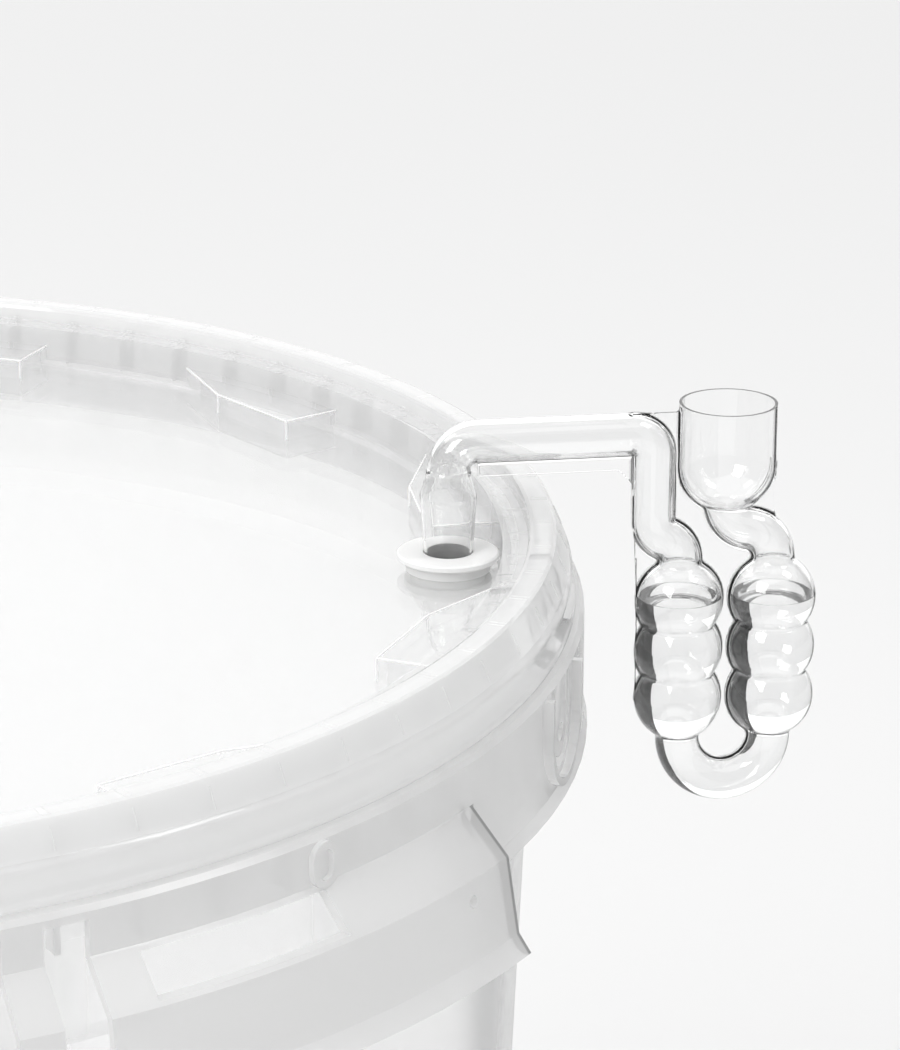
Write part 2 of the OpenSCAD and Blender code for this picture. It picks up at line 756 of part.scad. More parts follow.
module web_plate() {
    left_u = down_u - tube_r;
    translate([0, 0, -web_plate_t / 2])
        linear_extrude(height = web_plate_t)
            union() {
                polygon([
                    [bend_r, arm_w], [bend_r, arm_w - tube_r - arm_web],
                    [left_u - web_corner, arm_w - tube_r - arm_web],
                    [left_u, arm_w - tube_r - arm_web - web_corner],
                    [col_1_u - bulb_r, -bulb_drop], [col_1_u - bulb_r, last_bulb_w],
                    [col_1_u, u_centre_w], [col_2_u, u_centre_w], [col_2_u, bowl_w],
                    [cup_u, bowl_w], [cup_u, arm_w + tube_r], [down_u - drop_bend_r, arm_w + tube_r],
                    [down_u - drop_bend_r, arm_w]
                ]);
                translate([u_mid_u, u_centre_w])
                    circle(r = u_bend_r, $fn = small_fn);
            }
}

module airlock() {
    color("lightcyan", 0.4)
        in_lock_plane()
            difference() {
                union() {
                    duct(0);
                    stem(0, 0);
                    cup(0, 0);
                    web_plate();
                }
                duct(lock_wall);
                stem(lock_wall, cut_in);
                cup(lock_wall, cut_in);
            }
}

// Half section of a ball of radius r that is cut off flat at height h above its middle
function cut_ball(r, h) = concat(
    [for (i = [0 : ball_steps])
        let (a = -90 + i * (asin(h / r) + 90) / ball_steps) [r * cos(a), r * sin(a)]],
    [[0, h]]
);

// Water that seals the airlock, in the bulbs and the tube that joins them
module lock_water() {
    cut = lock_wall + water_gap;
    color("paleturquoise", 0.5)
        in_lock_plane()
            union() {
                for (u = [col_1_u, col_2_u])
                    translate([u, -bulb_drop, 0])
                        rotate([-90, 0, 0])
                            rotate_extrude($fn = small_fn)
                                polygon(cut_ball(bulb_r - cut, bulb_drop - water_drop));
                bulbs(1, cut);
                u_tube(cut);
            }
}

bucket();
lid();
tear_band();
grommet();
airlock();
lock_water();
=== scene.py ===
"""Looks for a fermenting bucket with a push-on lid, a rubber grommet and a bubble airlock.

The frame comes packed, in metres, with the middle of the base at the origin and +Z up.
Every operator makes one piece, or finishes a group of pieces, around that frame.
"""
import math

import bmesh
import bpy
import numpy as np
from bpy.props import FloatProperty, FloatVectorProperty, IntProperty, PointerProperty
from mathutils import Matrix, Vector


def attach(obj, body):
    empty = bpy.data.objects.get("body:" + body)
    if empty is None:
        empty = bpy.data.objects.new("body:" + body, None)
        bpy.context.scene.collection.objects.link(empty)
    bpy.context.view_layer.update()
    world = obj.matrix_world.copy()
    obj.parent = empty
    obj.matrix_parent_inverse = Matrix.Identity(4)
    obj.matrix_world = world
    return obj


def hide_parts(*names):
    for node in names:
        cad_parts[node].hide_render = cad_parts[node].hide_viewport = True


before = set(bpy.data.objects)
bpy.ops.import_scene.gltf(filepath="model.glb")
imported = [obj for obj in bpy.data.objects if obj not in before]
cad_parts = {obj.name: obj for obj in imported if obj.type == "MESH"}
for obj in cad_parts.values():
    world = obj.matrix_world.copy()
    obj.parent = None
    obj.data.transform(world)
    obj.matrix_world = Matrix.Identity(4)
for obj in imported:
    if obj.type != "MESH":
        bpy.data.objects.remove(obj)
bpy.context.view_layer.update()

bl_info = {
    "name": "Fermenting bucket",
    "version": (1, 0, 0),
    "blender": (4, 5, 0),
    "location": "View3D > Sidebar > Bucket",
    "description": "Builds the visible surfaces of a fermenting bucket with a bubble airlock",
    "category": "Object",
}

MM = 0.001

# The lid and its hole, in millimetres in the bucket's frame
TOP_Z = 390.0
HOLE_R = 161.0
HOLE_AZ = math.radians(-25.0)
ARM_AZ = math.radians(-19.0)
PANEL_Z = TOP_Z - 12.5
GROMMET_TOP = PANEL_Z + 3.9
HOLE = (HOLE_R * math.cos(HOLE_AZ), HOLE_R * math.sin(HOLE_AZ), GROMMET_TOP)
# Where the grommet's neck begins under its flange, in metres; below it the rubber gets painted shade
NECK_Z = (GROMMET_TOP - 1.6) * MM


# ---------------------------------------------------------------- settings

class BucketLooks(bpy.types.PropertyGroup):
    """Finishes of the bucket, the lid and the grommet"""

    milk: FloatVectorProperty(
        name="Plastic colour", description="Colour of the milky plastic", subtype="COLOR",
        default=(0.985, 0.986, 0.986), min=0, max=1)
    panel: FloatVectorProperty(
        name="Panel colour", description="Colour of the lid's clearer panel", subtype="COLOR",
        default=(0.93, 0.932, 0.932), min=0, max=1)
    # Darker than the wall's colour: painted shade for the collar and grips, which stand in front of a shaded hollow
    thick: FloatVectorProperty(
        name="Collar colour", description="Colour of the thicker plastic of the collar and grips",
        subtype="COLOR", default=(0.88, 0.88, 0.88), min=0, max=1)
    ring: FloatVectorProperty(
        name="Ring colour", description="Colour of the lid's raised ring and tear band", subtype="COLOR",
        default=(0.98, 0.98, 0.98), min=0, max=1)
    bucket_see_through: FloatProperty(
        name="Bucket see-through", description="Share of light that goes straight through a face of the bucket's wall",
        default=0.6, min=0, max=1, subtype="FACTOR")
    collar_see_through: FloatProperty(
        name="Collar see-through", description="Share of light that goes straight through a face of the collar",
        default=0.4, min=0, max=1, subtype="FACTOR")
    lid_see_through: FloatProperty(
        name="Panel see-through", description="Share of light that goes straight through a face of the lid's panel",
        default=0.75, min=0, max=1, subtype="FACTOR")
    ring_see_through: FloatProperty(
        name="Ring see-through", description="Share of light that goes straight through a face of the lid's ring",
        default=0.6, min=0, max=1, subtype="FACTOR")
    glow: FloatProperty(
        name="Glow", description="Share of the milky light that comes through from behind",
        default=0.5, min=0, max=1, subtype="FACTOR")
    wall_glow: FloatProperty(
        name="Wall glow", description="Share of the milky light that comes through the bucket's thin wall",
        default=0.85, min=0, max=1, subtype="FACTOR")
    rubber: FloatVectorProperty(
        name="Grommet colour", description="Colour of the rubber grommet", subtype="COLOR",
        default=(0.86, 0.86, 0.855), min=0, max=1)


class AirlockShape(bpy.types.PropertyGroup):
    """Sizes of the airlock's visible wall"""

    wall: FloatProperty(
        name="Wall", description="Wall of the airlock", default=0.00065, min=0.0005, max=0.0015, unit="LENGTH")
    fillet: FloatProperty(
        name="Fillet", description="Rounding where two of the airlock's shapes run into each other",
        default=0.0009, min=0.0001, max=0.003, unit="LENGTH")
    cell: FloatProperty(
        name="Cell", description="Edge of the grid from which the airlock's surface is made",
        default=0.0006, min=0.0003, max=0.001, unit="LENGTH")
    water_left: FloatProperty(
        name="Water, first column", description="Depth of the water's surface below the grommet's top",
        default=0.0123, min=0.008, max=0.018, unit="LENGTH")
    water_right: FloatProperty(
        name="Water, second column", description="Depth of the water's surface below the grommet's top",
        default=0.0126, min=0.008, max=0.018, unit="LENGTH")


class StageLight(bpy.types.PropertyGroup):
    """Light and floor around the bucket"""

    floor: FloatVectorProperty(
        name="Floor colour", description="Colour of the floor", subtype="COLOR",
        default=(0.8, 0.8, 0.8), min=0, max=1)
    sky: FloatProperty(
        name="Surrounding light", description="Strength of the even light from all sides", default=0.38, min=0, max=3)
    overhead: FloatProperty(
        name="Overhead light", description="Power of the large light above", default=203.0, min=0, max=2000,
        unit="POWER")
    backdrop: FloatProperty(
        name="Backdrop light", description="Power of the lit wall behind the bucket", default=150.0, min=0, max=2000,
        unit="POWER")
    windows: FloatProperty(
        name="Small lights", description="Brightness of the two small softboxes that the bulbs mirror", default=2.6,
        min=0, max=20)
    key: FloatProperty(
        name="Key light", description="Power of the softbox on the left of the camera", default=38.0, min=0, max=500,
        unit="POWER")


# ---------------------------------------------------------------- materials

def node_material(name):
    """New material with a principled shader; returns the material, its tree and the shader."""
    mat = bpy.data.materials.new(name)
    mat.use_nodes = True
    tree = mat.node_tree
    return mat, tree, tree.nodes["Principled BSDF"]


def object_noise(tree, scale, detail=3.0, stretch=(1, 1, 1)):
    """Noise on Object coordinates; scale is in cycles per metre."""
    place = tree.nodes.new("ShaderNodeTexCoord")
    mapping = tree.nodes.new("ShaderNodeMapping")
    mapping.inputs["Scale"].default_value = stretch
    noise = tree.nodes.new("ShaderNodeTexNoise")
    noise.inputs["Scale"].default_value = scale
    noise.inputs["Detail"].default_value = detail
    tree.links.new(place.outputs["Object"], mapping.inputs["Vector"])
    tree.links.new(mapping.outputs["Vector"], noise.inputs["Vector"])
    return noise.outputs["Fac"]


def between(tree, factor, low, high, start=0.3, end=0.7):
    """A value that goes from low to high while factor goes from start to end."""
    span = tree.nodes.new("ShaderNodeMapRange")
    span.inputs["From Min"].default_value = start
    span.inputs["From Max"].default_value = end
    span.inputs["To Min"].default_value = low
    span.inputs["To Max"].default_value = high
    tree.links.new(factor, span.inputs["Value"])
    return span.outputs["Result"]


def combined(tree, operation, first, second=None):
    """Result of a Math node on sockets or plain numbers."""
    node = tree.nodes.new("ShaderNodeMath")
    node.operation = operation
    for value, socket in zip((first, second), node.inputs):
        if isinstance(value, (int, float)):
            socket.default_value = value
        elif value is not None:
            tree.links.new(value, socket)
    return node.outputs["Value"]


def tinted(tree, factor, dark, light):
    """A colour that follows factor from dark to light; either may be a socket."""
    mix = tree.nodes.new("ShaderNodeMix")
    mix.data_type = "RGBA"
    for name, colour in (("A", dark), ("B", light)):
        socket = [i for i in mix.inputs if i.identifier == name + "_Color"][0]
        if isinstance(colour, tuple):
            socket.default_value = (*colour, 1)
        else:
            tree.links.new(colour, socket)
    tree.links.new(factor, mix.inputs["Factor"])
    return [o for o in mix.outputs if o.identifier == "Result_Color"][0]


def bumped(tree, height, depth):
    """A normal with fine relief of the given depth in metres."""
    bump = tree.nodes.new("ShaderNodeBump")
    bump.inputs["Distance"].default_value = depth
    tree.links.new(height, bump.inputs["Height"])
    return bump.outputs["Normal"]


def place_parts(tree):
    """X, Y and Z of Object coordinates, and the distance from the bucket's axis."""
    place = tree.nodes.new("ShaderNodeTexCoord")
    split = tree.nodes.new("ShaderNodeSeparateXYZ")
    tree.links.new(place.outputs["Object"], split.inputs["Vector"])
    x, y, z = (split.outputs[axis] for axis in "XYZ")
    squares = combined(tree, "ADD", combined(tree, "MULTIPLY", x, x), combined(tree, "MULTIPLY", y, y))
    return x, y, z, combined(tree, "SQRT", squares)


def rib_mask(tree, first, pitch, half, near, far, low, high):
    """1 on the ribs that stand every pitch degrees from first on, between two radii and two heights."""
    x, y, z, reach = place_parts(tree)
    turned = combined(tree, "SUBTRACT", combined(tree, "ARCTAN2", y, x), math.radians(first))
    wrap = tree.nodes.new("ShaderNodeMath")
    wrap.operation = "WRAP"
    tree.links.new(turned, wrap.inputs[0])
    wrap.inputs[1].default_value = math.radians(pitch) / 2
    wrap.inputs[2].default_value = -math.radians(pitch) / 2
    off = combined(tree, "MULTIPLY", combined(tree, "ABSOLUTE", wrap.outputs["Value"]), reach)
    mask = between(tree, off, 1, 0, half * 0.8, half * 1.2)
    for value, limit, side in ((reach, near, "GREATER_THAN"), (reach, far, "LESS_THAN"),
                               (z, low, "GREATER_THAN"), (z, high, "LESS_THAN")):
        mask = combined(tree, "MULTIPLY", mask, combined(tree, side, value, limit))
    return mask


def milky_plastic(name, thin, thick, edge, roughness, grain_scale, relief, marks=()):
    """Moulded polypropylene: part of the light goes straight through it and part glows through.

    thin and thick each hold a colour, the share that goes straight through and the share that glows through.
    The plastic is thin closer to the axis than edge and thick further out. Every mark paints light or shade:
    it holds rib_mask's numbers, the painted colour there and how much of the straight light is left.
    """
    mat, tree, shader = node_material(name)
    cloud = object_noise(tree, 14.0)
    grain = object_noise(tree, grain_scale, 2.0)
    normal = bumped(tree, grain, relief)
    outside = between(tree, place_parts(tree)[3], 0, 1, *edge)
    colours = [tinted(tree, cloud, tuple(c * 0.99 for c in part[0]), part[0]) for part in (thin, thick)]
    tint = tinted(tree, outside, *colours)
    see_through = between(tree, outside, thin[1], thick[1], 0, 1)
    glow = between(tree, outside, thin[2], thick[2], 0, 1)
    # Painted light and shade: each mark lays its colour over the tint and scales the light that goes straight through
    for numbers, shade, left in marks:
        mask = rib_mask(tree, *numbers)
        tint = tinted(tree, mask, tint, shade)
        see_through = combined(tree, "MULTIPLY", see_through, between(tree, mask, 1, left, 0, 1))
    tree.links.new(tint, shader.inputs["Base Color"])
    tree.links.new(normal, shader.inputs["Normal"])
    shader.inputs["Roughness"].default_value = 1.0
    shader.inputs["Specular IOR Level"].default_value = 0.0
    through = tree.nodes.new("ShaderNodeBsdfTranslucent")
    tree.links.new(tint, through.inputs["Color"])
    tree.links.new(normal, through.inputs["Normal"])
    clear = tree.nodes.new("ShaderNodeBsdfTransparent")
    gloss = tree.nodes.new("ShaderNodeBsdfGlossy")
    tree.links.new(between(tree, grain, roughness * 0.8, roughness * 1.2), gloss.inputs["Roughness"])
    tree.links.new(normal, gloss.inputs["Normal"])
    # A polished face mirrors little head-on and much at a low angle
    angle = tree.nodes.new("ShaderNodeLayerWeight")
    angle.inputs["Blend"].default_value = 0.5
    mirrored = combined(tree, "POWER", angle.outputs["Facing"], 5.0)
    mirrored = between(tree, mirrored, 0.04, 1, 0, 1)
    surface = shader.outputs["BSDF"]
    for share, layer in ((glow, through), (see_through, clear), (mirrored, gloss)):
        mix = tree.nodes.new("ShaderNodeMixShader")
        tree.links.new(share, mix.inputs["Fac"])
        tree.links.new(surface, mix.inputs[1])
        tree.links.new(layer.outputs["BSDF"], mix.inputs[2])
        surface = mix.outputs["Shader"]
    tree.links.new(surface, tree.nodes["Material Output"].inputs["Surface"])
    return mat


def finish_node(name, mat):
    """Gives a CAD node its material."""
    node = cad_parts[name]
    node.data.materials.clear()
    node.data.materials.append(mat)
    return node


# ---------------------------------------------------------------- distance fields for the airlock

# The airlock lies in one upright plane: u points outwards from the stem, w up from the grommet's top.
# All numbers are millimetres.
TUBE_R = 4.45
ARM_W = 23.7
BEND_R = 6.2
DROP_BEND_R = 4.7
DOWN_U = 43.4
COLUMNS = (49.35, 69.6)
BULB_R = 9.2
BULB_DROP = 13.3
BULB_PITCH = 11.06
BULB_COUNT = 3
CUP_U = 59.1
CUP_R = 10.3
CUP_TOP = 29.7
CUP_WALL = 13.2
CUP_NECK = 8.3
BOWL_W = CUP_TOP - CUP_WALL
SHIFT_H = 9.4
STEM = ((-20.0, 4.4), (0.0, 5.2), (12.2, 6.0), (17.4, 4.45))
WEB_T = 1.0
ARM_WEB = 3.4
WEB_CORNER = 3.0
BULB_NECK = 0.9
LAST_BULB = -BULB_DROP - (BULB_COUNT - 1) * BULB_PITCH
BULB_MEET = math.sqrt(BULB_R ** 2 - TUBE_R ** 2)
INLET_W = -BULB_DROP + BULB_MEET + BULB_NECK
U_CENTRE = LAST_BULB - BULB_MEET - BULB_NECK
U_BEND_R = (COLUMNS[1] - COLUMNS[0]) / 2
U_MID = (COLUMNS[0] + COLUMNS[1]) / 2
# How far the open ends are drawn on before they are cut off flat
OVERRUN = 3.0


def to_segment(u, w, a, b):
    """Distance from points u, w to the segment from a to b."""
    du, dw = b[0] - a[0], b[1] - a[1]
    t = np.clip(((u - a[0]) * du + (w - a[1]) * dw) / (du * du + dw * dw), 0, 1)
    return np.hypot(u - a[0] - t * du, w - a[1] - t * dw)


def to_arc(u, w, centre, radius, start, sweep):
    """Distance to an arc that starts at angle start and turns by sweep, in degrees."""
    du, dw = u - centre[0], w - centre[1]
    angle = np.degrees(np.arctan2(dw, du))
    turned = np.mod(angle - start, 360) if sweep > 0 else np.mod(start - angle, 360)
    on_arc = turned <= abs(sweep)
    best = np.abs(np.hypot(du, dw) - radius)
    ends = [
        np.hypot(du - radius * math.cos(math.radians(a)), dw - radius * math.sin(math.radians(a)))
        for a in (start, start + sweep)
    ]
    return np.where(on_arc, best, np.minimum(*ends))


def shift_arcs(top, low):
    """The two arcs that carry a tube from top to low with a sideways shift."""
    shift, drop = low[0] - top[0], top[1] - low[1]
    turn = 2 * math.degrees(math.atan(shift / drop))
    radius = drop / (2 * math.sin(math.radians(turn)))
    return [
        ((top[0] + radius, top[1]), radius, 180, turn),
        ((low[0] - radius, low[1]), radius, 0, turn),
    ]


def duct_line(u, w):
    """Distance in the plane to the centre line of all tubes."""
    down_low = INLET_W + SHIFT_H
    arcs = [
        ((BEND_R, ARM_W - BEND_R), BEND_R, 90, 90),
        ((DOWN_U - DROP_BEND_R, ARM_W - DROP_BEND_R), DROP_BEND_R, 0, 90),
        ((U_MID, U_CENTRE), U_BEND_R, 180, 180),
    ]
    arcs += shift_arcs((DOWN_U, down_low), (COLUMNS[0], INLET_W))
    arcs += shift_arcs((CUP_U, CUP_NECK), (COLUMNS[1], INLET_W))
    lines = [
        ((BEND_R, ARM_W), (DOWN_U - DROP_BEND_R, ARM_W)),
        ((DOWN_U, ARM_W - DROP_BEND_R), (DOWN_U, down_low)),
        ((CUP_U, BOWL_W - CUP_R / 2), (CUP_U, CUP_NECK)),
    ]
    for column in COLUMNS:
        lines.append(((column, INLET_W), (column, -BULB_DROP)))
        lines.append(((column, LAST_BULB), (column, U_CENTRE)))
    dist = np.full(np.broadcast(u, w).shape, 1e9)
    for arc in arcs:
        dist = np.minimum(dist, to_arc(u, w, *arc))
    for line in lines:
        dist = np.minimum(dist, to_segment(u, w, *line))
    return dist


def soft_min(a, b, k):
    """Smaller of two distances, with a fillet of about k where they meet."""
    h = np.clip(0.5 + 0.5 * (b - a) / k, 0, 1)
    return b + (a - b) * h - k * h * (1 - h)


def round_duct(u, w, v, cut, k):
    """Signed distance to the airlock's tubes, bulbs, stem and cup, drawn in by cut."""
    dist = np.hypot(duct_line(u, w), v) - (TUBE_R - cut)
    for column in COLUMNS:
        column_dist = None
        for i in range(BULB_COUNT):
            bulb = np.sqrt((u - column) ** 2 + (w + BULB_DROP + i * BULB_PITCH) ** 2 + v ** 2) - (BULB_R - cut)
            column_dist = bulb if column_dist is None else soft_min(column_dist, bulb, k * 0.6)
        dist = soft_min(dist, column_dist, k)
    # Stem: straight tapers from one listed height to the next
    heights = [h for h, _ in STEM]
    radii = [r for _, r in STEM]
    across = np.hypot(u, v)
    side = across - (np.interp(w, heights, radii) - cut)
    stem = np.maximum(side, np.maximum(w - heights[-1], heights[0] - OVERRUN - w))
    dist = soft_min(dist, stem, k)
    # Cup: a ball drawn out upwards
    cup_line = np.sqrt((u - CUP_U) ** 2 + v ** 2 + np.minimum(w - BOWL_W, 0) ** 2)
    cup = np.maximum(cup_line - (CUP_R - cut), w - CUP_TOP - OVERRUN)
    return soft_min(dist, cup, k)


WEB_OUTLINE = [
    (BEND_R, ARM_W), (BEND_R, ARM_W - TUBE_R - ARM_WEB),
    (DOWN_U - TUBE_R - WEB_CORNER, ARM_W - TUBE_R - ARM_WEB),
    (DOWN_U - TUBE_R, ARM_W - TUBE_R - ARM_WEB - WEB_CORNER),
    (COLUMNS[0] - BULB_R, -BULB_DROP), (COLUMNS[0] - BULB_R, LAST_BULB),
    (COLUMNS[0], U_CENTRE), (COLUMNS[1], U_CENTRE), (COLUMNS[1], BOWL_W),
    (CUP_U, BOWL_W), (CUP_U, ARM_W + TUBE_R), (DOWN_U - DROP_BEND_R, ARM_W + TUBE_R),
    (DOWN_U - DROP_BEND_R, ARM_W),
]


def to_outline(u, w, points):
    """Signed distance to a closed outline, negative inside."""
    dist = np.full(np.broadcast(u, w).shape, 1e9)
    inside = np.zeros(dist.shape, bool)
    for a, b in zip(points, points[1:] + points[:1]):
        dist = np.minimum(dist, to_segment(u, w, a, b))
        crosses = (a[1] > w) != (b[1] > w)
        at = a[0] + (w - a[1]) * (b[0] - a[0]) / ((b[1] - a[1]) or 1e-9)
        inside ^= crosses & (u < at)
    return np.where(inside, -dist, dist)


def outer_field(u, w, v, k):
    """Signed distance to the airlock's outer surface, with the flat web."""
    web = np.minimum(to_outline(u, w, WEB_OUTLINE), np.hypot(u - U_MID, w - U_CENTRE) - U_BEND_R)
    web = np.maximum(web, np.abs(v) - WEB_T / 2)
    return soft_min(round_duct(u, w, v, 0, k), web, k)


def surface_from_field(field, low, high, cell):
    """Closed surface where field(u, w, v) is zero, as points and quads that face outwards."""
    axes = [np.arange(a, b + cell, cell) for a, b in zip(low, high)]
    grid = field(axes[0][:, None, None], axes[1][None, :, None], axes[2][None, None, :])
    # A surface that runs out of the grid is closed at its sides
    for side in (0, -1):
        grid[side], grid[:, side], grid[:, :, side] = 1, 1, 1
    inside = grid < 0
    shape = np.array(grid.shape) - 1
    total = np.zeros((*shape, 3))
    count = np.zeros(shape)
    edges = []
    for axis in range(3):
        first = [slice(None)] * 3
        second = [slice(None)] * 3
        first[axis], second[axis] = slice(None, -1), slice(1, None)
        a, b = grid[tuple(first)], grid[tuple(second)]
        i, j, k = np.nonzero(inside[tuple(first)] != inside[tuple(second)])
        at = np.stack([i, j, k], 1).astype(float)
        at[:, axis] += a[i, j, k] / (a[i, j, k] - b[i, j, k])
        edges.append((axis, i, j, k, inside[tuple(first)][i, j, k]))
        for da in (0, 1):
            for db in (0, 1):
                back = [0, 0, 0]
                back[(axis + 1) % 3], back[(axis + 2) % 3] = da, db
                ci, cj, ck = i - back[0], j - back[1], k - back[2]
                np.add.at(total, (ci, cj, ck), at)
                np.add.at(count, (ci, cj, ck), 1)
    used = count > 0
    index = np.full(shape, -1)
    index[used] = np.arange(used.sum())
    points = total[used] / count[used][:, None] * cell + np.array(low)
    quads = []
    for axis, i, j, k, first_inside in edges:
        p, q = np.zeros(3, int), np.zeros(3, int)
        p[(axis + 1) % 3], q[(axis + 2) % 3] = 1, 1
        corners = np.stack([
            index[i - da * p[0] - db * q[0], j - da * p[1] - db * q[1], k - da * p[2] - db * q[2]]
            for da, db in ((0, 0), (1, 0), (1, 1), (0, 1))
        ], 1)
        quads.append(np.where(first_inside[:, None], corners, corners[:, ::-1]))
    quads = np.concatenate(quads)
    # Draw every point onto the surface itself
    step = cell * 0.05
    for _ in range(3):
        here = field(*points.T)
        slope = np.stack([
            field(*(points + step * unit).T) - field(*(points - step * unit).T) for unit in np.eye(3)
        ], 1) / (2 * step)
        steep = np.maximum((slope ** 2).sum(1), 0.25)
        move = slope * (here / steep)[:, None]
        far = np.linalg.norm(move, axis=1, keepdims=True)
        points = points - move * np.minimum(1, cell / np.maximum(far, 1e-9))
    return points, quads


def in_airlock_place(points):
    """Airlock points (u, w, v) in millimetres, as places in the bucket's frame in metres."""
    u, w, v = points.T
    x = HOLE[0] + u * math.cos(ARM_AZ) + v * math.sin(ARM_AZ)
    y = HOLE[1] + u * math.sin(ARM_AZ) - v * math.cos(ARM_AZ)
    return np.stack([x, y, HOLE[2] + w], 1) * MM


def grid_mesh(name, points, quads):
    """Mesh in the airlock's own millimetres."""
    mesh = bpy.data.meshes.new(name)
    mesh.from_pydata(points.tolist(), [], quads.tolist())
    mesh.validate()
    return mesh


def cut_off(bm, height, keep_below, near=None):
    """Cuts the surface flat at height w and drops what is past it; near limits that to points round one u."""
    part = bm.verts[:] + bm.edges[:] + bm.faces[:]
    if near is not None:
        u, reach = near
        faces = [f for f in bm.faces if abs(f.calc_center_median().x - u) < reach]
        part = faces + list({v for f in faces for v in f.verts}) + list({e for f in faces for e in f.edges})
    bmesh.ops.bisect_plane(
        bm, geom=part, dist=1e-5, plane_co=(0, height, 0), plane_no=(0, 1 if keep_below else -1, 0),
        clear_outer=True)


def place_mesh(mesh):
    """Moves an airlock mesh from its own plane to its place in the frame."""
    co = np.empty(len(mesh.vertices) * 3)
    mesh.vertices.foreach_get("co", co)
    mesh.vertices.foreach_set("co", in_airlock_place(co.reshape(-1, 3)).ravel())
    mesh.update()


def field_normals(mesh, fields, flat):
    """Normals of an airlock mesh straight from its distance fields, as one vector per face corner.

    Each field comes with the side it faces. Faces in the cuts at the heights in flat keep their own normal.
    """
    points = np.empty(len(mesh.vertices) * 3)
    mesh.vertices.foreach_get("co", points)
    points = points.reshape(-1, 3)
    best, normals = np.full(len(points), 1e9), np.zeros_like(points)
    for field, side in fields:
        away = np.abs(field(*points.T))
        slope = np.stack([
            field(*(points + 0.02 * unit).T) - field(*(points - 0.02 * unit).T) for unit in np.eye(3)], 1)
        slope *= side / np.maximum(np.linalg.norm(slope, axis=1, keepdims=True), 1e-9)
        nearer = away < best
        best[nearer], normals[nearer] = away[nearer], slope[nearer]
    corners = np.empty(len(mesh.loops), int)
    mesh.loops.foreach_get("vertex_index", corners)
    corner_normals = normals[corners]
    for face in mesh.polygons:
        if abs(face.normal.y) > 0.999 and min(abs(face.center.y - height) for height in flat) < 0.01:
            corner_normals[face.loop_start:face.loop_start + face.loop_total] = face.normal
    u, w, v = corner_normals.T
    turned = (u * math.cos(ARM_AZ) + v * math.sin(ARM_AZ), u * math.sin(ARM_AZ) - v * math.cos(ARM_AZ), w)
    return np.stack(turned, 1)


def new_piece(name, mesh, mat):
    """New object in the frame with one material."""
    piece = bpy.data.objects.new(name, mesh)
    bpy.context.scene.collection.objects.link(piece)
    mesh.materials.append(mat)
    return piece


def lathed(name, profile, steps):
    """Closed ring round the bucket's axis; the profile (r, z) in millimetres runs clockwise, inside on its right."""
    turns = [math.tau * i / steps for i in range(steps)]
    points = [(r * MM * math.cos(a), r * MM * math.sin(a), z * MM) for a in turns for r, z in profile]
    count = len(profile)
    faces = []
    for i in range(steps):
        here, there = i * count, (i + 1) % steps * count
        for j in range(count):
            after = (j + 1) % count
            faces.append((here + j, here + after, there + after, there + j))
    mesh = bpy.data.meshes.new(name)
    mesh.from_pydata(points, [], faces)
    for face in mesh.polygons:
        face.use_smooth = True
    mesh.set_sharp_from_angle(angle=math.radians(40))
    return mesh


def bead_tree():
    """Node tree that draws beads along a mesh's edges and repeats them round the bucket's axis."""
    tree = bpy.data.node_groups.new("beads_round_axis", "GeometryNodeTree")
    face = tree.interface
    sockets = {}
    for label, kind in (("Geometry", "Geometry"), ("Count", "Int"), ("First angle", "Float"),
                        ("Bead radius", "Float"), ("Material", "Material")):
        sockets[label] = face.new_socket(label, in_out="INPUT", socket_type="NodeSocket" + kind).identifier
    face.new_socket("Geometry", in_out="OUTPUT", socket_type="NodeSocketGeometry")
    start, end = tree.nodes.new("NodeGroupInput"), tree.nodes.new("NodeGroupOutput")
    path = tree.nodes.new("GeometryNodeMeshToCurve")
    ring = tree.nodes.new("GeometryNodeCurvePrimitiveCircle")
    ring.inputs["Resolution"].default_value = 8
    tube = tree.nodes.new("GeometryNodeCurveToMesh")
    tube.inputs["Fill Caps"].default_value = True
    places = tree.nodes.new("GeometryNodePoints")
    turned = tree.nodes.new("ShaderNodeCombineXYZ")
    spread = tree.nodes.new("GeometryNodeInstanceOnPoints")
    real = tree.nodes.new("GeometryNodeRealizeInstances")
    paint = tree.nodes.new("GeometryNodeSetMaterial")
    step = combined(tree, "DIVIDE", math.tau, start.outputs["Count"])
    angle = combined(tree, "MULTIPLY", tree.nodes.new("GeometryNodeInputIndex").outputs["Index"], step)
    angle = combined(tree, "ADD", angle, start.outputs["First angle"])
    for source, target in (
            (start.outputs["Geometry"], path.inputs["Mesh"]),
            (start.outputs["Bead radius"], ring.inputs["Radius"]),
            (path.outputs["Curve"], tube.inputs["Curve"]),
            (ring.outputs["Curve"], tube.inputs["Profile Curve"]),
            (start.outputs["Count"], places.inputs["Count"]),
            (places.outputs[0], spread.inputs["Points"]),
            (tube.outputs["Mesh"], spread.inputs["Instance"]),
            (angle, turned.inputs["Z"]),
            (turned.outputs["Vector"], spread.inputs["Rotation"]),
            (spread.outputs["Instances"], real.inputs["Geometry"]),
            (real.outputs["Geometry"], paint.inputs["Geometry"]),
            (start.outputs["Material"], paint.inputs["Material"]),
            (paint.outputs["Geometry"], end.inputs["Geometry"])):
        tree.links.new(source, target)
    return tree, sockets


